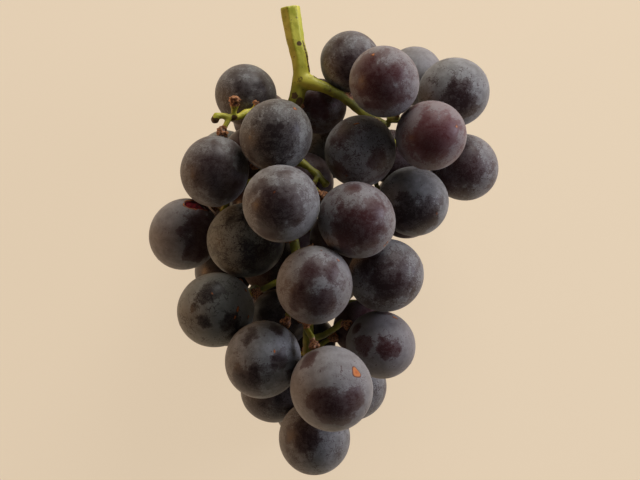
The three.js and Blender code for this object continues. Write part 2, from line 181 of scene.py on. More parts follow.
bpy.ops.mesh.primitive_plane_add(size=2 * FLOOR_HALF)
floor = bpy.context.object
floor.name = "floor"
floor_material, tree, shader = new_material("warm studio paper")
shader.inputs["Base Color"].default_value = linear("#877c6b")
shader.inputs["Roughness"].default_value = 0.9
shader.inputs["Specular IOR Level"].default_value = 0.1
shader.inputs["Emission Color"].default_value = linear("#dfcbb0")
shader.inputs["Emission Strength"].default_value = 0.92
floor.data.materials.append(floor_material)
print("floor:", 2 * FLOOR_HALF, "m wide")

# %% [markdown]
# ## Light
# The light comes in low from the sides and hardly from above. Sides of the berries are then brighter than
# what faces the camera, which is what makes each one look round. The right side is cool, the left side is
# warm and weaker, and the third lamp stands so low beyond the stem that upper berries shade the lower ones.

# %% Light
SKY_SIDE = "#fff2e0"
SKY_TOP = "#e8ecf4"
SKY_STRENGTH = 0.08


def lamp(name, place_mm, size_mm, watts, colour):
    """A large soft light that faces the bunch."""
    data = bpy.data.lights.new(name, "AREA")
    data.shape = "DISK"
    data.size = size_mm * MM
    data.energy = watts
    data.color = linear(colour)[:3]
    light = bpy.data.objects.new(name, data)
    light.location = Vector(place_mm) * MM
    light.rotation_euler = (-light.location).to_track_quat("-Z", "Y").to_euler()
    bpy.context.scene.collection.objects.link(light)
    return light


lamp("right", (980, 250, 200), 500, 6.4, "#e2e6fa")
lamp("left", (-950, 0, 110), 360, 2.1, "#ffb874")
lamp("top", (240, 760, 250), 500, 5.0, "#fbf9f5")

world = bpy.data.worlds.new("studio")
bpy.context.scene.world = world
world.use_nodes = True
sky = world.node_tree
sky.nodes.clear()
direction = add(sky, "ShaderNodeTexCoord").outputs["Generated"]
height = add(sky, "ShaderNodeSeparateXYZ", {0: direction}).outputs[2]
upper = ramp(sky, height, 0.15, 0.6)
shade = mixed(sky, upper, SKY_SIDE, SKY_TOP)
strength = ramp(sky, height, 0.15, 0.6, 2.0 * SKY_STRENGTH, SKY_STRENGTH)
glow = add(sky, "ShaderNodeBackground", {"Color": shade, "Strength": strength})
add(sky, "ShaderNodeOutputWorld", {0: glow.outputs[0]})

# %% [markdown]
# ## Measuring a berry
# Each berry of the model is a faceted oval with a dimple where its pedicel enters. To lay a smooth berry
# over it, three things are needed: its middle, its half width and the way its stem end points. The corners
# all lie on an oval ball, so a least squares fit of such a ball gives the middle and the size. The one
# corner that doesn't fit is the bottom of the dimple, and it points at the stem.

# %% Fit an oval to each berry
ON_TABLE = 0.05  # height in millimetres under which a corner belongs to the flat spot


def corners_of(node):
    """The different corners of a CAD node, in millimetres."""
    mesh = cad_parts[node].data
    places = np.zeros(3 * len(mesh.vertices))
    mesh.vertices.foreach_get("co", places)
    return np.unique(np.round(places.reshape(-1, 3) / MM, 3), axis=0)


def fit_oval(points):
    """Middle, quadratic form and misfit of the oval ball through the points."""
    origin = points.mean(axis=0)
    x, y, z = (points - origin).T
    terms = np.stack([x * x, y * y, z * z, 2 * x * y, 2 * x * z, 2 * y * z, 2 * x, 2 * y, 2 * z], axis=1)
    fitted = np.linalg.lstsq(terms, np.ones(len(points)), rcond=None)[0]
    form = np.array([fitted[[0, 3, 4]], fitted[[3, 1, 5]], fitted[[4, 5, 2]]])
    middle = -np.linalg.solve(form, fitted[6:])
    return origin + middle, form / (1 + middle @ form @ middle), np.abs(terms @ fitted - 1)


def measure(node):
    """Middle and half width in millimetres, and the direction of the stem end."""
    points = corners_of(node)
    points = points[points[:, 2] > ON_TABLE]
    misfit = fit_oval(points)[2]
    kept = np.delete(points, misfit.argmax(), axis=0)
    middle, form, _ = fit_oval(kept)
    axis = points[misfit.argmax()] - middle
    axis /= np.linalg.norm(axis)
    half_width = 1 / math.sqrt(np.linalg.eigvalsh(form)[-1])
    return middle, half_width, axis


berries = {node: measure(node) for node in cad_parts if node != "stem"}
widths = sorted(2 * half_width for _, half_width, _ in berries.values())
print(len(berries), "berries,", round(widths[0], 1), "to", round(widths[-1], 1), "mm across")

# %% [markdown]
# ## What each berry looks like
# No two berries wear their bloom alike. For those that face the camera, a table says how much bloom is left,
# how red or how olive the skin is under it, how weathered it is, and where patches have been rubbed bare.
# A patch is placed on the berry's disc as the camera sees it, with the disc's edge at 1.

# %% Looks by berry
LOOKS = {  # bloom, red or olive, wear, and the rubbed patches: middle (right, up) and reach in radians
    "far_top_left": (0.55, 0.0, 0.2, [((0.4, 0.5), 0.35), ((0.5, -0.2), 0.35), ((-0.1, 0.2), 0.3)]),
    "top_left": (0.54, 0.1, 0.3, [((0.1, -0.1), 0.7), ((-0.4, 0.6), 0.25)]),
    "top_front": (0.62, 0.5, 0.3, [((-0.15, -0.05), 0.85), ((-0.5, 0.5), 0.4)]),
    "top_back": (0.95, 0.3, 0.1, [((-0.3, 0.2), 0.15)]),
    "top_right": (0.74, 0.1, 0.7, [((0.15, -0.1), 0.6), ((0.35, -0.5), 0.4)]),
    "upper_left": (0.54, -0.05, 0.8, [((-0.2, -0.3), 0.6), ((0.3, 0.1), 0.45), ((-0.6, -0.5), 0.3)]),
    "upper_middle": (0.66, 0.3, 0.9, [((-0.5, 0.55), 0.4), ((-0.65, -0.5), 0.3), ((0.5, -0.25), 0.35)]),
    "upper_right": (0.61, 0.95, 0.2, [((0.15, 0.1), 0.7), ((-0.1, -0.35), 0.6)]),
    "upper_far_left": (0.56, 0.1, 0.3, [((0.1, 0.1), 0.7), ((0.3, -0.4), 0.65)]),
    "upper_far_right": (0.64, 0.25, 0.7, [((-0.05, 0.15), 0.75), ((-0.4, -0.5), 0.6)]),
    "middle_far_right": (0.76, 0.05, 0.6, [((-0.25, -0.4), 0.7), ((0.35, -0.4), 0.6)]),
    "middle_left": (0.63, 0.1, 0.3, [
        ((-0.2, 0.0), 0.7), ((-0.35, -0.6), 0.45), ((0.35, -0.45), 0.2), ((0.1, 0.75), 0.2),
    ]),
    "middle_right": (0.64, 0.4, 0.5, [((0.0, -0.3), 0.75), ((-0.1, 0.8), 0.25), ((0.5, 0.3), 0.35)]),
    "waist_left": (0.62, -0.3, 1.0, [((0.6, -0.4), 0.75), ((-0.4, 0.53), 0.15), ((0.1, 0.6), 0.2)]),
    "waist_far_left": (0.8, 0.25, 0.3, [
        ((0.45, 0.1), 0.5), ((-0.05, 0.1), 0.2), ((0.3, -0.55), 0.4), ((0.65, 0.0), 0.8),
    ]),
    "waist_right": (0.64, 0.15, 0.9, [((0.1, -0.2), 0.7), ((-0.4, 0.4), 0.4)]),
    "waist_middle": (0.64, 0.25, 0.3, [
        ((-0.1, 0.35), 0.35), ((0.45, 0.35), 0.25), ((-0.4, -0.25), 0.4), ((0.2, -0.5), 0.4),
    ]),
    "lower_far_left": (0.73, -0.2, 0.8, [
        ((-0.1, 0.5), 0.35), ((0.3, -0.35), 0.35), ((-0.55, 0.1), 0.15), ((-0.3, -0.3), 0.25),
    ]),
    "lower_left": (0.71, 0.05, 0.4, [
        ((0.3, 0.78), 0.3), ((-0.35, 0.6), 0.25), ((0.45, 0.0), 0.25), ((-0.4, -0.6), 0.5),
    ]),
    "lower_right": (0.74, 0.3, 0.3, [
        ((-0.55, 0.7), 0.3), ((0.1, -0.4), 0.6), ((0.5, -0.3), 0.35), ((-0.3, -0.4), 0.4),
    ]),
    "lower_far_right": (0.82, 0.4, 0.6, [((-0.5, 0.0), 0.35), ((-0.65, 0.5), 0.2), ((0.2, -0.1), 0.4)]),
    "tail": (0.68, 0.1, 0.4, [((-0.35, 0.1), 0.5), ((-0.2, 0.4), 0.3)]),
    "tail_left": (0.48, 0.0, 0.5, [((0.3, 0.2), 0.8)]),
    "tail_right": (0.62, 0.1, 0.6, [((-0.3, 0.0), 0.5)]),
    "inner_fork": (0.54, 0.55, 0.2, [((0.0, 0.0), 0.5)]),
    "inner_upper": (0.66, -0.1, 0.2, [((0.0, 0.0), 0.2)]),
}


def facing(middle, right, up):
    """The direction from a berry's middle to the point that the camera sees there on its disc."""
    to_eye = (EYE / MM - Vector(middle)).normalized()
    turn = Vector((0, 0, 1)).rotation_difference(to_eye)
    return np.array(turn @ Vector((right, up, math.sqrt(max(0.0, 1 - right**2 - up**2)))))


print("berries in the table:", len(LOOKS))

# %% [markdown]
# ## Where berries have rubbed each other
# The hidden berries draw their looks at random. Bloom also wears away wherever two berries touch, and that
# can be worked out for every pair: the spot lies on the line between their middles. Berries deep inside the
# bunch get less bloom than those outside, as painted shade that makes them darker.

# %% Rubbed patches of every berry
TOUCHING = 1.1  # millimetres of air under which two berries have rubbed each other
TOUCH_REACH = 0.3  # radians, of the worn spot there
BLOOM_INSIDE_SHADED = (0.24, 0.38)  # least and most; thin bloom here is painted shade that darkens berries deep in the bunch
BLOOM_OUTSIDE = (0.42, 0.66)
RED = (-0.3, 0.5)  # olive below 0
PATCHES = 3
PATCH_REACH = (0.3, 0.8)  # in radians


def random_direction():
    direction = rng.normal(size=3)
    return direction / np.linalg.norm(direction)


def looks_of(node):
    """Bloom, red, wear and the rubbed patches of a berry, each with its direction and its reach."""
    middle, half_width, _ = berries[node]
    seen = LOOKS.get(node.removeprefix("berry_"))
    if seen:
        bloom, red, wear, rubbed = seen
        patches = [(facing(middle, *place), reach) for place, reach in rubbed]
    else:
        # painted shade: berries deep inside the bunch get thin bloom, which makes them darker
        usual = BLOOM_INSIDE_SHADED if "inner" in node else BLOOM_OUTSIDE
        bloom, red, wear = rng.uniform(*usual), rng.uniform(*RED), rng.uniform()
        patches = [(random_direction(), rng.uniform(*PATCH_REACH)) for _ in range(PATCHES)]
    for other, (other_middle, other_half, _) in berries.items():
        between = other_middle - middle
        distance = np.linalg.norm(between)
        if other != node and distance < half_width + other_half + TOUCHING:
            patches.append((between / distance, TOUCH_REACH))
    return bloom, red, wear, patches


looks = {node: looks_of(node) for node in berries}
print("rubbed patches:", sum(len(look[-1]) for look in looks.values()))

# %% [markdown]
# ## Scars and flecks
# The end of a berry away from its stem has a tiny corky dot, where the flower's tip fell off. Some berries
# also have orange flecks, where a leaf or a neighbour chafed the young skin and it healed as cork. Cork is
# raised and has a darker rim. One attribute holds it: 0 outside, growing to 1 in the middle of the spot.

# %% Places of the corky spots
TIP_DOT = 0.38  # half size of the dot at the tip, in millimetres
DARK = 0.3  # strength of a spot that is only a dark scab, against 1 for full cork
SCARRED = {"upper_left": 0.85, "upper_right": 0.6, "middle_right": 0.55, "top_front": 0.7}  # larger tips
SPOTS = {  # middle (right, up) on the disc, half length and half width in millimetres, turn in degrees
    "lower_right": [((0.59, 0.38), 2.15, 1.75, -60)],
    "lower_far_right": [((0.42, 0.8), 1.1, 0.6, -20)],
    "upper_middle": [((-0.1, 0.77), 1.3, 0.35, 10)],
    "lower_far_left": [
        ((0.55, 0.0), 1.2, 0.5, 75),
        ((0.49, -0.2), 0.8, 0.4, 70),
        ((0.77, 0.5), 0.5, 0.3, 60),
        ((0.83, -0.2), 0.7, 0.35, 80),
        ((-0.1, 0.43), 0.5, 0.25, -45),
    ],
    "lower_left": [((0.3, 0.2), 0.4, 0.3, 0), ((0.44, 0.26), 0.3, 0.25, 0)],
    "waist_middle": [((0.62, 0.6), 0.8, 0.3, -30)],
    "middle_right": [((0.69, -0.64), 0.6, 0.4, 60)],
}


def spots_of(node):
    """Each corky spot: its direction, the two directions it lies along, its half sizes and its strength."""
    middle, _, axis = berries[node]
    side = np.cross(axis, [0.31, 0.47, 0.83])
    side /= np.linalg.norm(side)
    name = node.removeprefix("berry_")
    tip = SCARRED.get(name, TIP_DOT)
    spots = [(-axis, side, np.cross(axis, side), tip, tip, DARK if tip == TIP_DOT else 2 * DARK)]
    for (right, up), length, width, turn in SPOTS.get(name, []):
        direction = facing(middle, right, up)
        angle = math.radians(turn)
        along = np.array([math.cos(angle), math.sin(angle), 0])
        along -= direction * (along @ direction)
        along /= np.linalg.norm(along)
        spots.append((direction, along, np.cross(direction, along), length, width, 1))
    return spots


def cork_at(directions, half_width, spot):
    """How deep inside a corky spot each direction lies, from 0 at its rim to 1 in its middle."""
    direction, along, across, length, width, strength = spot
    away = (directions - direction) * half_width
    wobble = 1 + 0.15 * np.sin(3 * np.arctan2(away @ across, away @ along) + 10 * length)
    distance = np.hypot(away @ along / length, away @ across / width) * wobble
    return strength * np.clip(1 - distance, 0, 1)


print("corky spots:", sum(len(spots_of(node)) for node in berries))

# %% [markdown]
# ## Steps and waves
# Two formulas shape everything that follows. A smooth step turns a distance into a soft edge. A sum of a few
# random waves over the ball gives slow, never repeating bends, for outlines and for ragged edges.

# %% Steps and waves
WAVES = 7


def smooth_step(value):
    value = np.clip(value, 0, 1)
    return value * value * (3 - 2 * value)


def slow_waves(directions, longest=1.5, shortest=5.0):
    """A few random waves over the ball, about -1 to 1 when added up."""
    total = np.zeros(len(directions))
    for step in range(WAVES):
        speed = longest + (shortest - longest) * step / WAVES
        total += np.sin(speed * directions @ random_direction() * 2 + rng.uniform(0, 2 * math.pi))
    return total / math.sqrt(WAVES)


print("smooth step at a quarter:", smooth_step(0.25))

# %% [markdown]
# ## The berry that has burst
# One berry on the left has split its skin close under its neighbour. The gash is a lens between two points
# of the berry's disc: dark red, wet flesh in the middle, and a thin lip of cork where the skin has healed.

# %% The split skin
SPLITS = {"berry_waist_far_left": ((0.17, 0.84), (0.84, 0.55))}
SPLIT_HALF_WIDTH = 3.9
LIP = 0.5  # width of the corky lip, in millimetres
LIP_OUT = 0.3  # from the gash's edge to the middle of the lip
FLESH_EDGE = 0.6  # over which flesh turns to skin
SPLIT_POINTS = 5  # along the line, where the mesh is made finer


def split_line(middle, ends):
    """Directions at even steps along the gash."""
    start, end = (facing(middle, *place) for place in ends)
    steps = [start + (end - start) * i / (SPLIT_POINTS - 1) for i in range(SPLIT_POINTS)]
    return [step / np.linalg.norm(step) for step in steps]


def split_at(directions, middle, half_width, ends):
    """Depth inside the gash, 0 to 1, and the lip round its near end."""
    start, end = (facing(middle, *place) for place in ends)
    line = end - start
    share = np.clip((directions - start) @ line / (line @ line), 0, 1)
    nearest = start + share[:, None] * line
    nearest /= np.linalg.norm(nearest, axis=1)[:, None]
    away = np.linalg.norm(directions - nearest, axis=1) * half_width
    ragged = 1 + 0.12 * slow_waves(directions, 6, 20)
    tapering = np.sqrt(np.clip(share + 0.35, 0, 1) * np.clip(1.15 - share, 0, 1))
    opening = SPLIT_HALF_WIDTH * ragged * tapering
    flesh = smooth_step((opening - away) / FLESH_EDGE + 0.5)
    lip = smooth_step(1 - np.abs(away - opening - LIP_OUT) / LIP) * smooth_step(1.3 - 1.6 * share)
    lip *= np.clip(0.75 + 0.5 * slow_waves(directions, 12, 40), 0, 1)
    return flesh, lip * (1 - flesh)


print("burst berries:", list(SPLITS))

# %% [markdown]
# ## Worn bloom
# Bloom is full at first and comes off in patches. Each patch has a ragged edge, coarse and fine, and a little
# wax stays even in its middle. The result is painted on the berry's corners and drives the material.

# %% Bloom left on a berry
WORN_BLOOM = 0.31  # what is left in the middle of a rubbed patch
SOFTNESS = 0.7  # share of a patch's reach over which its edge fades


def bloom_left(directions, bloom, patches):
    """The bloom in each direction, and how worn it is there."""
    worn = np.zeros(len(directions))
    for direction, reach in patches:
        angle = np.arccos(np.clip(directions @ direction, -1, 1))
        angle += reach * (0.24 * slow_waves(directions, 3, 9) + 0.14 * slow_waves(directions, 9, 25))
        worn = np.maximum(worn, smooth_step((1.2 - angle / reach) / SOFTNESS))
    left = bloom + 0.04 * slow_waves(directions, 2, 6)
    return left - worn * np.maximum(left - WORN_BLOOM, 0.05), worn


print("edge of a patch fades over", SOFTNESS, "of its reach")

# %% [markdown]
# ## One smooth berry
# An icosphere is the best start for a berry, because its faces are alike all over and it has no pole that
# pinches. Its faces are split finer only where something small has to show: round the dimple, the dot at
# the tip, each corky spot and the gash. Spots overlap, and each would split the same faces again, so an
# edge that is fine enough stays whole. Then every corner is moved outwards or inwards by a formula: the
# oval, a few slow waves because no berry is a perfect oval, the dimple, and the spots.

# %% A finer ball
BALL_SPLITS = 5
FINE_STEPS = (1.0, 0.6)  # shares of a fine spot's reach inside which faces are split once more
FINEST_EDGE = 0.012  # of the ball's radius, about 0.15 mm: a shorter edge stays whole


def fine_ball(fine_spots):
    """A ball of radius 1 with smaller faces round each spot, which is a direction and a reach."""
    bm = bmesh.new()
    bmesh.ops.create_icosphere(bm, subdivisions=BALL_SPLITS, radius=1)
    for direction, reach in fine_spots:
        for share in FINE_STEPS:
            centre = Vector(direction)
            chord = 2 * math.sin(share * reach / 2)
            long_edges = [e for e in bm.edges if e.calc_length() > FINEST_EDGE]
            close = [e for e in long_edges if all((v.co - centre).length < chord for v in e.verts)]
            split = bmesh.ops.subdivide_edges(bm, edges=close, cuts=1, use_grid_fill=True)
            for part in split["geom_split"]:
                if isinstance(part, bmesh.types.BMVert):
                    part.co.normalize()
    bmesh.ops.triangulate(bm, faces=bm.faces)
    return bm


def paint(mesh, name, values):
    """Keep one number for each corner, for the material to read."""
    layer = mesh.attributes.new(name, "FLOAT", "POINT")
    layer.data.foreach_set("value", np.asarray(values, dtype=np.float32))


plain = fine_ball([])
print("faces on a plain ball:", len(plain.faces))
plain.free()

# %% [markdown]
# ## All the berries
# A berry that lies on the table is pressed flat there, and one that would stand out of the model's box is
# drawn in by a hair. The berries are softer than the model's facets, but they keep its places and sizes.

# %% Berry meshes
STRETCH = 1.05  # a berry is longer along its axis than across
DIMPLE_DEPTH = 0.5
DIMPLE_REACH = 0.35  # in radians
WAVE_HEIGHT = 0.035  # in millimetres, of each wave on a berry's outline
CORK_RISE = 0.09
SPLIT_DEPTH = 0.9
EDGE_ROOM = 0.002  # millimetres kept inside the model's box

box_low, box_high = (np.array(corner) / MM for corner in cad_box)


def share_that_fits(places, middle):
    """The share of its size, 1 at most, that a berry may keep to stay inside the model's box."""
    above = (box_high - EDGE_ROOM - middle) / places.max(axis=0)
    beside = (middle - box_low - EDGE_ROOM) / -places.min(axis=0)
    return min(1, above.min(), beside[:2].min())


def make_berry(node):
    """The fine mesh of one berry, with its looks painted on."""
    middle, half_width, axis = berries[node]
    bloom, red, wear, patches = looks[node]
    spots = spots_of(node)
    fine_spots = [(axis, 1.2 * DIMPLE_REACH)] + [(s[0], 2.2 * s[3] / half_width) for s in spots]
    split = SPLITS.get(node)
    if split:
        fine_spots += [(place, 1.6 * SPLIT_HALF_WIDTH / half_width) for place in split_line(middle, split)]
    bm = fine_ball(fine_spots)
    mesh = bpy.data.meshes.new(node + "_fine")
    bm.to_mesh(mesh)
    bm.free()

    directions = np.zeros(3 * len(mesh.vertices))
    mesh.vertices.foreach_get("co", directions)
    directions = directions.reshape(-1, 3)
    along = directions @ axis
    height = WAVE_HEIGHT * slow_waves(directions)
    height -= DIMPLE_DEPTH * smooth_step(1 - np.arccos(np.clip(along, -1, 1)) / DIMPLE_REACH)
    cork = np.max([cork_at(directions, half_width, spot) for spot in spots], axis=0)
    height += CORK_RISE * smooth_step(cork * 4) - CORK_RISE * smooth_step(cork * 2 - 0.8)
    flesh = np.zeros(len(directions))
    if split:
        flesh, rim = split_at(directions, middle, half_width, split)
        height -= SPLIT_DEPTH * flesh
        height += CORK_RISE * smooth_step(rim)
        cork = np.maximum(cork, 0.45 * rim)
    left, worn = bloom_left(directions, bloom, patches)

    places = directions * (half_width + height)[:, None]
    places += np.outer((STRETCH - 1) * along * half_width, axis)
    places = middle + places * share_that_fits(places, middle)
    places[:, 2] = np.maximum(places[:, 2], 0)
    mesh.vertices.foreach_set("co", (places * MM).ravel())
    mesh.polygons.foreach_set("use_smooth", np.ones(len(mesh.polygons), dtype=bool))
    mesh.update()
    paint(mesh, "bloom", left)
    paint(mesh, "red", red * (1 + 0.25 * worn))
    paint(mesh, "wear", np.full(len(directions), wear))
    paint(mesh, "cork", cork)
    paint(mesh, "flesh", flesh)
    piece = bpy.data.objects.new(node + "_fine", mesh)
    bpy.context.scene.collection.objects.link(piece)
    return piece


pieces = {node: make_berry(node) for node in berries}
faces = [len(piece.data.polygons) for piece in pieces.values()]
print("faces on a berry:", min(faces), "to", max(faces), "and in all:", sum(faces))

# %% [markdown]
# ## Patterns on the skin
# Noise of three sizes breaks up the painted bloom: patches of 5 mm, flakes of 1.6 mm and specks of 0.45 mm.
# Fine scratches, where a neighbour slid past, are the thin lines where a stretched noise crosses its middle
# value. Some berries have dried drops with a paler shore, and the weathered ones have a net of fine cracks
# and dark pores.

# %% Skin patterns
PATCH_MM = 5.0
FLAKE_MM = 1.6
SPECK_MM = 0.45
SCRATCH_STRETCH = 9
LAKE_MM = 5.5
CRACK_MM = 2.2
CRACK_BEND = 1.6  # millimetres that noise shifts the net of cracks, so that it isn't straight
PORE_MM = 0.75

skin, tree, shader = new_material("grape skin with rubbed bloom")
place = add(tree, "ShaderNodeTexCoord").outputs["Object"]
bloom = add(tree, "ShaderNodeAttribute", attribute_name="bloom").outputs["Fac"]
wear = add(tree, "ShaderNodeAttribute", attribute_name="wear").outputs["Fac"]

patch = maths(tree, "SUBTRACT", grain(tree, place, PATCH_MM, 5, 0.6, 0.6), 0.5)
flake = maths(tree, "SUBTRACT", grain(tree, place, FLAKE_MM, 4, 0.6, 0.3), 0.5)
speck = maths(tree, "SUBTRACT", grain(tree, place, SPECK_MM, 2), 0.5)

turn = {"Vector": place, "Rotation": (0.5, 0.3, 0.9), "Scale": (1, SCRATCH_STRETCH, 1)}
stretched = grain(tree, add(tree, "ShaderNodeMapping", turn).outputs[0], 9.0, 2, 0.5, 0.2)
from_middle = maths(tree, "ABSOLUTE", maths(tree, "SUBTRACT", stretched, 0.5))
line = ramp(tree, from_middle, 0.004, 0.014, 1, 0)
scratch = maths(tree, "MULTIPLY", line, ramp(tree, grain(tree, place, 8.0, 1), 0.5, 0.6))

lake_field = grain(tree, place, LAKE_MM, 3, 0.5, 0.8)
lake = ramp(tree, lake_field, 0.58, 0.6)
shore = maths(tree, "SUBTRACT", ramp(tree, lake_field, 0.57, 0.585), ramp(tree, lake_field, 0.6, 0.62))

shifts = add(tree, "ShaderNodeTexNoise", {"Vector": place, "Scale": 1 / (1.5 * MM), "Detail": 2.0})
shift = {0: shifts.outputs["Color"], 3: CRACK_BEND * MM}
offset = add(tree, "ShaderNodeVectorMath", shift, operation="SCALE")
bent = add(tree, "ShaderNodeVectorMath", {0: place, 1: offset.outputs[0]}, operation="ADD").outputs[0]
cells = {"Vector": bent, "Scale": 1 / (CRACK_MM * MM)}
to_edge = add(tree, "ShaderNodeTexVoronoi", cells, feature="DISTANCE_TO_EDGE").outputs["Distance"]
cracked = ramp(tree, grain(tree, place, 6.0, 3), 0.45, 0.6)
crack = maths(tree, "MULTIPLY", ramp(tree, to_edge, 0.02, 0.09, 1, 0), cracked)
pore = ramp(tree, grain(tree, place, PORE_MM, 1), 0.64, 0.7)
pitted = maths(tree, "MULTIPLY", pore, ramp(tree, grain(tree, place, 7.0, 2), 0.4, 0.6))
print("patterns:", len(tree.nodes), "nodes")

# %% [markdown]
# ## Bloom as one field
# All patterns are added to the painted bloom, each with its own strength, and the sum is one field. A low
# value is bare skin, a middle one a thin haze and a high one the thick film. Weathered berries get more of
# the mottling than those whose film nothing has touched.

# %% The bloom field
mottling = maths(tree, "MULTIPLY_ADD", wear, 0.6, 0.6)
strengths = (
    (maths(tree, "MULTIPLY", patch, mottling), 0.6),
    (maths(tree, "MULTIPLY", flake, mottling), 0.5),
    (maths(tree, "MULTIPLY", speck, mottling), 0.55),
    (lake, -0.08),
    (shore, -0.03),
    (scratch, -0.12),
    (maths(tree, "MULTIPLY", crack, wear), -0.26),
    (maths(tree, "MULTIPLY", pitted, maths(tree, "MULTIPLY_ADD", wear, 0.8, 0.2)), -0.42),
)
field = bloom
for pattern, share in strengths:
    field = maths(tree, "MULTIPLY_ADD", pattern, share, field)
haze = ramp(tree, field, 0.15, 0.46)
film = ramp(tree, field, 0.44, 0.66)
print("patterns in the field:", len(strengths))

# %% [markdown]
# ## Colours of the skin
# The skin itself is smooth and dark, from purple-black to wine red. Bloom is a wax powder: light grey, quite
# matt, cool where it is thick and browner where it is thin. Cork runs from a dark rim to orange, and the
# flesh in the gash is deep red.

# %% Skin colours
CLOUD_MM = 3.0  # size of the faint clouds in the thick film
CORK_STOPS = ((0.0, "#5a2f22"), (0.18, "#6b3a22"), (0.32, "#b87340"), (0.7, "#c06a30"), (1.0, "#9c5028"))

red = add(tree, "ShaderNodeAttribute", attribute_name="red").outputs["Fac"]
cork = add(tree, "ShaderNodeAttribute", attribute_name="cork").outputs["Fac"]
flesh = add(tree, "ShaderNodeAttribute", attribute_name="flesh").outputs["Fac"]
olive = maths(tree, "MULTIPLY", red, -2.5)
bare_colour = mixed(tree, red, "#291d1d", "#521f21")
haze_colour = mixed(tree, red, mixed(tree, olive, "#534c4b", "#4f4d44"), "#644244")
cloud = ramp(tree, grain(tree, place, CLOUD_MM, 5, 0.7), 0.35, 0.65)
film_grey = mixed(tree, cloud, "#706f6e", "#8b8b8b")
film_colour = mixed(tree, red, mixed(tree, olive, film_grey, "#7d7d71"), "#827576")
colour = mixed(tree, film, mixed(tree, haze, bare_colour, haze_colour), film_colour)

cork_colour = add(tree, "ShaderNodeValToRGB", {0: cork})
stops = cork_colour.color_ramp.elements
for position, _ in CORK_STOPS[1:-1]:
    stops.new(position)
for stop, (_, hex_value) in zip(stops, CORK_STOPS):
    stop.color = linear(hex_value)
colour = mixed(tree, ramp(tree, cork, 0.02, 0.1), colour, cork_colour.outputs[0])
flesh_colour = mixed(tree, ramp(tree, flake, -0.1, 0.1), "#3a0d12", "#7c1a26")
colour = mixed(tree, ramp(tree, flesh, 0.2, 0.7), colour, flesh_colour)
tree.links.new(colour, shader.inputs["Base Color"])
print("cork colours:", len(stops))

# %% [markdown]
# ## Shine of the skin
# Bare skin is slightly glossy and the wax is matt, so roughness follows the field, and the wet flesh shines
# most. The film stands a hair above the skin, which a little bump shows. Sheen gives the soft light edge
# that all powders have.

# %% Skin shine
matt = ramp(tree, field, 0.2, 0.6, 0.36, 0.68)
wet = ramp(tree, flesh, 0.3, 0.8)
tree.links.new(maths(tree, "MULTIPLY_ADD", wet, -0.5, matt), shader.inputs["Roughness"])
relief = maths(tree, "ADD", maths(tree, "MULTIPLY", film, 0.5), maths(tree, "MULTIPLY", speck, 0.4))
bump = add(tree, "ShaderNodeBump", {"Height": relief, "Strength": 0.35, "Distance": 0.06 * MM})
tree.links.new(bump.outputs[0], shader.inputs["Normal"])
shader.inputs["IOR"].default_value = 1.45
shader.inputs["Specular IOR Level"].default_value = 0.4
shader.inputs["Sheen Weight"].default_value = 0.3
shader.inputs["Sheen Roughness"].default_value = 0.4
shader.inputs["Sheen Tint"].default_value = linear("#d4d2cf")

for node, piece in pieces.items():
    piece.data.materials.append(skin)
    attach(piece, "root")
    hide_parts(node)
print("skin is on", len(pieces), "berries")

# %% [markdown]
# ## The stem
# The model's stem is a union of straight-edged bars. A voxel remesh melts them into one skin, as growth
# does, and a few rounds of smoothing take the edges away. Where the right shoulder leaves the main stalk a
# real stem has no seam at all, so a vertex group lets a second, stronger smoothing work there alone.

# %% Stem mesh
VOXEL = 0.35  # in millimetres
SMOOTH_ROUNDS = 5
FORK = (-7.0, 57.0, 48.5)
FORK_REACH = 10.0
FORK_ROUNDS = 60

bm = bmesh.new()
bm.from_mesh(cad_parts["stem"].data)
bmesh.ops.remove_doubles(bm, verts=bm.verts, dist=0.001 * MM)
mesh = bpy.data.meshes.new("stem_fine")
bm.to_mesh(mesh)
bm.free()
stem = bpy.data.objects.new("stem_fine", mesh)
bpy.context.scene.collection.objects.link(stem)


def settle(piece):
    """Make what the modifiers give the piece's own mesh."""
    shaped = piece.evaluated_get(bpy.context.evaluated_depsgraph_get())
    piece.data = bpy.data.meshes.new_from_object(shaped)
    piece.modifiers.clear()


def vectors_of(mesh, name):
    """Places or normals of a mesh's corners, one row each."""
    values = np.zeros(3 * len(mesh.vertices))
    mesh.vertices.foreach_get(name, values)
    return values.reshape(-1, 3)


def near(places, middle, reach):
    """1 at a place, falling smoothly to 0 at its reach, in millimetres."""
    return smooth_step(1 - np.linalg.norm(places - np.array(middle), axis=1) / reach)


melt = stem.modifiers.new("melt", "REMESH")
melt.mode = "VOXEL"
melt.voxel_size = VOXEL * MM
soften = stem.modifiers.new("soften", "SMOOTH")
soften.factor = 0.5
soften.iterations = SMOOTH_ROUNDS
settle(stem)

group = stem.vertex_groups.new(name="fork")
for index, share in enumerate(near(vectors_of(stem.data, "co") / MM, FORK, FORK_REACH)):
    if share > 0:
        group.add([index], float(min(1, 2 * share)), "REPLACE")
blend = stem.modifiers.new("blend the fork", "SMOOTH")
blend.vertex_group = "fork"
blend.factor = 0.5
blend.iterations = FORK_ROUNDS
settle(stem)
print("stem faces:", len(stem.data.polygons))
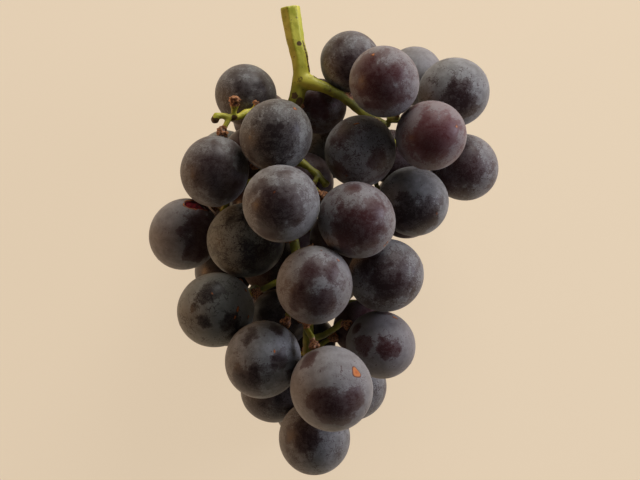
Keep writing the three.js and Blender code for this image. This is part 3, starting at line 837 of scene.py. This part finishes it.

# %% [markdown]
# ## Warts and caps
# The surface is roughened by noise: gently along the wood, and strongly on the caps, which on a real bunch
# are warty crowns of rust-brown cork. Three caps on the left are frayed. How far each corner is from a cap,
# how deep it lies between warts, for painted shade in the clefts, where the brown stains and painted shade
# lie, and how much painted light it gets are painted on for the material.

# %% Stem surface
CAP_LENGTH = 2.6
CAP_SPREAD = 3.4  # distance from a cap's middle that still counts as cap
FRAYED_CAPS = ((-31.3, 49.6, 57.0), (-23.8, 50.5, 52.9), (-35.4, 38.2, 57.0))  # two have lost their berry
# painted light: the stem round the bare twig, within the reach below, gets the lit greens
BARE_TWIG = (-31.3, 46.2, 57.0)
LIT_TWIG_REACH = 14.0
FRAYED = 3.4  # times as warty as a cap with its berry
WART_MM = 0.75
WART_HEIGHT = 0.3
RIPPLE_MM = 2.6
RIPPLE_HEIGHT = 0.16
WART_SINK = 0.35  # of a wart's height, so that clefts lie under the plain surface
GROWTH = 0.2  # makes up for what smoothing took away
SHADED_UP_TO_Y = 45  # the y in millimetres up to which the stem gets the painted shade
LIT_FROM_Y = 60  # and the y from which it gets the painted light
SHOULDER_SHADE = 0.7  # how much less painted light, and more painted shade, the right shoulder gets than the main stalk
EDGE_MARKS = [((-7.4 + 0.24 * step, 70.8 - 1.24 * step, 48.8), 1.15) for step in range(9)]
STAINS_AND_SHADE = [  # brown stains, and painted shade on three pedicels deep in the bunch: where, and their reach in millimetres
    ((-8.6, 70.3, 50.4), 1.5),
    ((-10.2, 51.9, 49.8), 1.9),
    ((-8.6, 49.7, 49.4), 2.6),
    ((-2.6, 58.6, 49.5), 2.4),
    ((-38.2, 42.1, 57.0), 3.2),
    ((-31.3, 43.4, 57.0), 1.8),
    # painted shade: the next three darken pedicels deep among the berries, the first also brown
    ((-2.7, 22.8, 63.0), 7.0),
    ((-9.0, 0.0, 60.0), 6.0),
    ((-37.4, 12.6, 33.0), 10.0),
    *EDGE_MARKS,
]

places = vectors_of(stem.data, "co") / MM
normals = vectors_of(stem.data, "normal")
caps = [place + axis * (STRETCH * half + CAP_LENGTH / 2) for place, half, axis in berries.values()]
tree_of_caps = kdtree.KDTree(len(caps))
for i, cap in enumerate(caps):
    tree_of_caps.insert(cap, i)
tree_of_caps.balance()
to_cap = np.array([tree_of_caps.find(place)[2] for place in places])
frayed = smooth_step(2 * np.max([near(places, cap, CAP_SPREAD) for cap in FRAYED_CAPS], axis=0))
cap_share = np.maximum(smooth_step(2 - 2 * to_cap / CAP_SPREAD), frayed)

warts = np.array([abs(noise.noise(Vector(place) / WART_MM)) for place in places])
ripples = np.array([noise.noise(Vector(place) / RIPPLE_MM) for place in places])
rise = GROWTH + RIPPLE_HEIGHT * ripples
rise += WART_HEIGHT * cap_share * (1 + (FRAYED - 1) * frayed) * (1.6 * warts - WART_SINK)
# painted shade: the clefts between the caps' warts
crevice_shade = cap_share * smooth_step(1 - 5 * warts)
# painted light and shade: 1 gives lit greens, above the fork and round the bare twig; 0 gives shaded ones
painted_light = smooth_step((places[:, 1] - SHADED_UP_TO_Y) / (LIT_FROM_Y - SHADED_UP_TO_Y))
painted_light *= 1 - SHOULDER_SHADE * smooth_step((places[:, 0] + 5) / 12)
painted_light = np.maximum(painted_light, smooth_step(2 * near(places, BARE_TWIG, LIT_TWIG_REACH)))
# 1 at brown stains and at painted shade on the shaded pedicels, 0 away from them
stain_and_shade_share = np.max([near(places, *stain_and_shade) for stain_and_shade in STAINS_AND_SHADE], axis=0)

places += normals * rise[:, None]
places = np.minimum(np.maximum(places, box_low), box_high - EDGE_ROOM)
stem.data.vertices.foreach_set("co", (places * MM).ravel())
stem.data.polygons.foreach_set("use_smooth", np.ones(len(stem.data.polygons), dtype=bool))
stem.data.update()
paint(stem.data, "cap", cap_share)
paint(stem.data, "crevice_shade", crevice_shade)
paint(stem.data, "painted_light", painted_light)
paint(stem.data, "stain_and_shade", stain_and_shade_share)
print("share of the stem that is cap:", round(float(cap_share.mean()), 2))

# %% [markdown]
# ## Green stem, with painted light and shade
# A bunch just cut still has a yellow-green stem with a thin waxy skin. Long patches run from olive to
# yellow, brown dots and dashes are its pores and old scars, and the caps are granular rust-brown cork with
# clefts in painted shade. Painted light gives lit greens above the fork and round the bare twig, painted
# shade gives darker greens lower down, and brown painted shade lies on a few pedicels deep in the bunch.

# %% Stem material
wood, tree, shader = new_material("green stem with corky caps and painted light and shade")
place = add(tree, "ShaderNodeTexCoord").outputs["Object"]
cap = add(tree, "ShaderNodeAttribute", attribute_name="cap").outputs["Fac"]
cleft_shade = add(tree, "ShaderNodeAttribute", attribute_name="crevice_shade").outputs["Fac"]
painted_light = add(tree, "ShaderNodeAttribute", attribute_name="painted_light").outputs["Fac"]
stain_and_shade = add(tree, "ShaderNodeAttribute", attribute_name="stain_and_shade").outputs["Fac"]

tone = ramp(tree, grain(tree, place, 6.0, 3, 0.5), 0.35, 0.65)
# painted shade in the first two greens, painted light in the last two, mixed by the painted light share
green = mixed(tree, painted_light, mixed(tree, tone, "#636020", "#94902e"), mixed(tree, tone, "#b0b030", "#d2ca4c"))
pore = ramp(tree, grain(tree, place, 1.1, 2, 0.5), 0.68, 0.74)
green = mixed(tree, pore, green, "#6a5626")
old = ramp(tree, grain(tree, place, 4.0, 4, 0.65), 0.62, 0.72)
# old brown patches, brown stains and painted shade on shaded pedicels, all made the same dark brown
ragged = maths(tree, "MULTIPLY_ADD", grain(tree, place, 1.2, 3), 1.2, stain_and_shade)
browned_and_shaded = maths(tree, "MAXIMUM", old, ramp(tree, ragged, 0.8, 1.0))
green = mixed(tree, browned_and_shaded, green, "#59401f")

granule = grain(tree, place, 0.5, 2)
rust = mixed(tree, ramp(tree, granule, 0.3, 0.6), "#6a3c22", "#c98c5e")
# painted shade: near-black brown in the clefts between warts
rust = mixed(tree, cleft_shade, rust, "#35190f")
edge = maths(tree, "MULTIPLY_ADD", maths(tree, "SUBTRACT", granule, 0.5), 0.8, cap)
tree.links.new(mixed(tree, ramp(tree, edge, 0.35, 0.6), green, rust), shader.inputs["Base Color"])
bump = add(tree, "ShaderNodeBump", {"Height": granule, "Strength": 0.5, "Distance": 0.1 * MM})
tree.links.new(bump.outputs[0], shader.inputs["Normal"])
shader.inputs["Roughness"].default_value = 0.5
shader.inputs["IOR"].default_value = 1.45
stem.data.materials.append(wood)
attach(stem, "root")
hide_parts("stem")
print("stem material:", wood.name)
